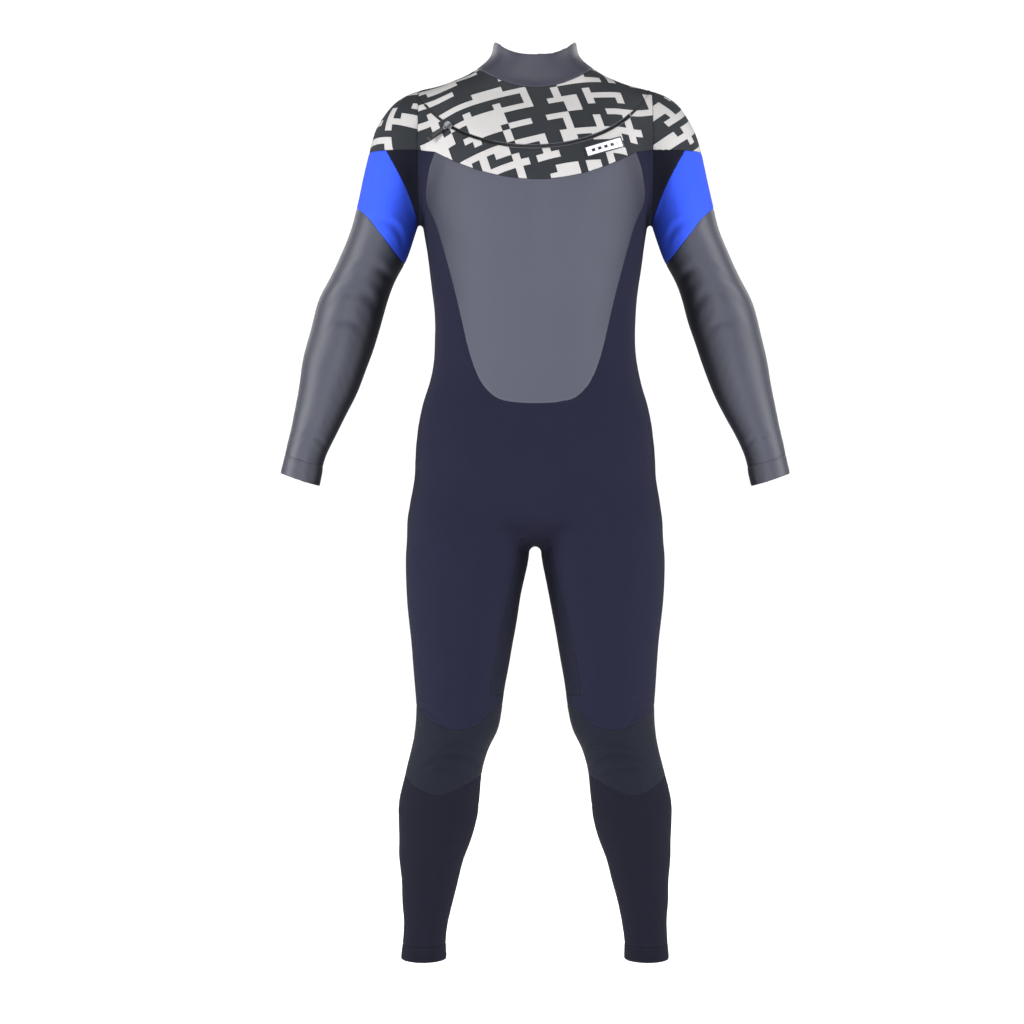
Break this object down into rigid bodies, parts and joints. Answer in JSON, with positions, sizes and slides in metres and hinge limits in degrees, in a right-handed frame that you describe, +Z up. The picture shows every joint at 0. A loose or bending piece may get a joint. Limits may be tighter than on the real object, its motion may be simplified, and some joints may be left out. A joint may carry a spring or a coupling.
{
  "type": "full wetsuit",
  "caption": "Full-length chest-zip wetsuit in its worn shape: hollow neoprene panels, arched zip over the chest, printed yoke, sleeves and legs that bend at elbows and knees.",
  "frame": {"origin": "middle of the neck opening at the height of the shoulders, where a wearer or a hanger holds the suit up", "axes": "+Z up towards the collar, -Y the front with the zip, +X the wearer's left"},
  "size_m": [0.8068, 0.243, 1.4639],
  "materials": {
    "collar_rubber": "matt smooth skin",
    "printed_jersey": "jersey, printed with a blocky two-tone pattern",
    "chest_mesh_skin": "fine mesh-embossed skin",
    "liner": "knitted lining",
    "zip_tape": "woven tape",
    "zip_coil": "moulded coil",
    "zip_metal": "satin",
    "pull_rubber": "moulded",
    "label": "blank heat-set label",
    "black_jersey": "stretch jersey",
    "knee_rubber": "ribbed wear panel",
    "blue_jersey": "stretch jersey",
    "smooth_skin_rubber": "smooth skin",
    "hem_tape": "glued hem",
    "navy_jersey": "stretch jersey"
  },
  "bodies": {
    "torso": {"neck_collar": "collar_rubber", "front_yoke": "printed_jersey", "zip_flap_yoke": "printed_jersey", "back_yoke": "printed_jersey", "chest_panel": "chest_mesh_skin", "left_side_panel": "navy_jersey", "right_side_panel": "navy_jersey", "abdomen_panel": "navy_jersey", "back_panel": "navy_jersey", "seat_panel": "navy_jersey", "crotch_gusset": "black_jersey", "inner_neck_seal": "liner", "storm_flap": "liner", "chest_label": "label", "zip_tape_upper": "zip_tape", "zip_tape_lower": "zip_tape", "zip_chain": "zip_coil", "zip_top_stop_upper": "zip_metal", "zip_top_stop_lower": "zip_metal", "zip_bottom_stop": "zip_metal", "left_inner_leg": "black_jersey", "left_thigh_front": "navy_jersey", "left_thigh_back": "navy_jersey", "left_knee_pad": "knee_rubber", "left_knee_back": "navy_jersey", "left_sleeve_head": "printed_jersey", "left_underarm_panel": "black_jersey", "left_blue_arm_panel": "blue_jersey", "left_upper_sleeve": "smooth_skin_rubber", "left_elbow_sleeve": "smooth_skin_rubber", "right_inner_leg": "black_jersey", "right_thigh_front": "navy_jersey", "right_thigh_back": "navy_jersey", "right_knee_pad": "knee_rubber", "right_knee_back": "navy_jersey", "right_sleeve_head": "printed_jersey", "right_underarm_panel": "black_jersey", "right_blue_arm_panel": "blue_jersey", "right_upper_sleeve": "smooth_skin_rubber", "right_elbow_sleeve": "smooth_skin_rubber"},
    "zip_slider": {"zip_slider": "zip_metal"},
    "zip_pull": {"pull_loop": "zip_metal", "zip_pull": "pull_rubber"},
    "left_forearm": {"left_forearm_sleeve": "smooth_skin_rubber", "left_wrist_cuff": "smooth_skin_rubber"},
    "left_shin": {"left_shin_front": "navy_jersey", "left_calf_back": "navy_jersey", "left_ankle_hem": "hem_tape"},
    "right_forearm": {"right_forearm_sleeve": "smooth_skin_rubber", "right_wrist_cuff": "smooth_skin_rubber"},
    "right_shin": {"right_shin_front": "navy_jersey", "right_calf_back": "navy_jersey", "right_ankle_hem": "hem_tape"}
  },
  "joints": [
    {"name": "zip_slider", "type": "hinge", "parent": "torso", "child": "zip_slider", "pos_m": [-0.00262, 0.02358, 0.01717], "axis": [-0.0131, -0.6863, 0.7272], "range_deg": [0, 95.8], "deforming": ["zip_chain"]},
    {"name": "zip_pull", "type": "hinge", "parent": "zip_slider", "child": "zip_pull", "pos_m": [-0.13709, -0.07543, -0.07442], "axis": [-0.4289, 0.4875, 0.7605], "range_deg": [0, 120]},
    {"name": "left_elbow", "type": "hinge", "parent": "torso", "child": "left_forearm", "pos_m": [0.288, 0.01, -0.338], "axis": [-0.9505, 0, -0.3107], "range_deg": [0, 95], "stiffness_Nm_per_rad": 0.8, "deforming": ["left_elbow_sleeve"]},
    {"name": "left_knee", "type": "hinge", "parent": "torso", "child": "left_shin", "pos_m": [0.136, 0.002, -1.065], "axis": [1, 0, 0], "range_deg": [0, 95], "stiffness_Nm_per_rad": 1.5, "deforming": ["left_knee_pad", "left_knee_back"]},
    {"name": "right_elbow", "type": "hinge", "parent": "torso", "child": "right_forearm", "pos_m": [-0.288, 0.01, -0.338], "axis": [-0.9505, 0, 0.3107], "range_deg": [0, 95], "stiffness_Nm_per_rad": 0.8, "deforming": ["right_elbow_sleeve"]},
    {"name": "right_knee", "type": "hinge", "parent": "torso", "child": "right_shin", "pos_m": [-0.136, 0.002, -1.065], "axis": [1, 0, 0], "range_deg": [0, 95], "stiffness_Nm_per_rad": 1.5, "deforming": ["right_knee_pad", "right_knee_back"]}
  ]
}
